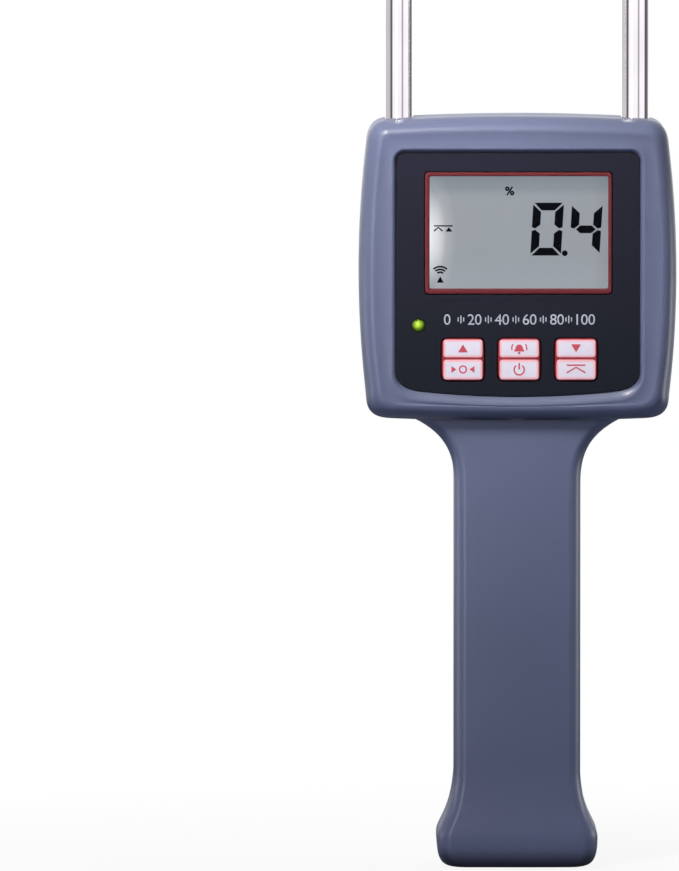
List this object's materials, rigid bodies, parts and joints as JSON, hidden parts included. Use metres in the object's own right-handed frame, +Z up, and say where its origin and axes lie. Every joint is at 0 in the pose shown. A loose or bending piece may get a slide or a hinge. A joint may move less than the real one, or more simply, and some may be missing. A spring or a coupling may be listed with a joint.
{
  "type": "moisture meter",
  "caption": "Handheld moisture meter with two long steel probes, a display head with push keys and an alarm lamp, and a hollow grip that holds its battery.",
  "frame": {"origin": "centre of the flat foot of the handle, on the plane where the two casing halves meet", "axes": "+X to the right as seen by the person reading the display, +Y away from that person, so the display faces -Y, and +Z up the handle towards the probe points"},
  "size_m": [0.0746, 0.035, 0.46],
  "materials": {
    "casing": "fine-grained blue-grey moulded plastic",
    "panel": "smooth near-black printed panel",
    "red_bezel": "dark red",
    "clear_window": "clear",
    "lcd_glass": "grey-green liquid-crystal glass",
    "key_cap": "white caps with dark red borders",
    "lamp": "clear yellow-green lens",
    "white_plastic": "plain",
    "black_plastic": "plain",
    "board": "green solder mask",
    "rubber": "matt",
    "foam": "open-cell foam",
    "probe_steel": "polished stainless steel",
    "hardware_steel": "plated",
    "tinned_metal": "tinned",
    "battery_can": null,
    "red_insulation": "flexible insulation",
    "black_insulation": "flexible insulation"
  },
  "bodies": {
    "housing": {"front_casing": "casing", "rear_casing": "casing", "panel_overlay": "panel", "display_bezel": "red_bezel", "display_window": "clear_window", "lcd_glass": "lcd_glass", "alarm_lamp": "lamp", "backlight_panel": "white_plastic", "backlight_led": "white_plastic", "probe_socket": "white_plastic", "battery_socket": "white_plastic", "lcd_holder": "black_plastic", "zero_switch": "black_plastic", "power_switch": "black_plastic", "hold_switch": "black_plastic", "controller_chip": "black_plastic", "buzzer": "black_plastic", "capacitor": "black_plastic", "probe_block": "black_plastic", "battery_snap": "black_plastic", "circuit_board": "board", "zebra_strip": "rubber", "probe_seal_left": "rubber", "probe_seal_right": "rubber", "probe_tube_left": "probe_steel", "probe_tube_right": "probe_steel", "probe_tip_left": "probe_steel", "probe_tip_right": "probe_steel", "probe_stud_left": "hardware_steel", "probe_stud_right": "hardware_steel", "probe_nut_left": "hardware_steel", "probe_nut_right": "hardware_steel", "block_screw_left": "hardware_steel", "block_screw_right": "hardware_steel", "board_screw_1": "hardware_steel", "board_screw_2": "hardware_steel", "board_screw_3": "hardware_steel", "board_screw_4": "hardware_steel", "case_screw_1": "hardware_steel", "case_screw_2": "hardware_steel", "case_screw_3": "hardware_steel", "case_screw_4": "hardware_steel", "case_screw_5": "hardware_steel", "case_screw_6": "hardware_steel", "crystal": "tinned_metal", "ring_terminal_left": "tinned_metal", "ring_terminal_right": "tinned_metal", "battery": "battery_can", "probe_lead_right": "red_insulation", "battery_lead_red": "red_insulation", "probe_lead_left": "black_insulation", "battery_lead_black": "black_insulation"},
    "zero_key": {"zero_key": "key_cap", "zero_plunger": "white_plastic"},
    "power_key": {"power_key": "key_cap", "power_plunger": "white_plastic"},
    "hold_key": {"hold_key": "key_cap", "hold_plunger": "white_plastic"},
    "battery_door": {"battery_door": "casing", "door_foam_pad": "foam"}
  },
  "joints": [
    {"name": "zero_key_press", "type": "slide", "parent": "housing", "child": "zero_key", "axis": [0, 1, 0], "range_m": [0, 0.0005], "stiffness_N_per_m": 500, "springref_m": -0.0016},
    {"name": "power_key_press", "type": "slide", "parent": "housing", "child": "power_key", "axis": [0, 1, 0], "range_m": [0, 0.0005], "stiffness_N_per_m": 500, "springref_m": -0.0016},
    {"name": "hold_key_press", "type": "slide", "parent": "housing", "child": "hold_key", "axis": [0, 1, 0], "range_m": [0, 0.0005], "stiffness_N_per_m": 500, "springref_m": -0.0016},
    {"name": "battery_door_hinge", "type": "hinge", "parent": "housing", "child": "battery_door", "pos_m": [0, 0.0136, 0.026], "axis": [-1, 0, 0], "range_deg": [0, 80]}
  ]
}
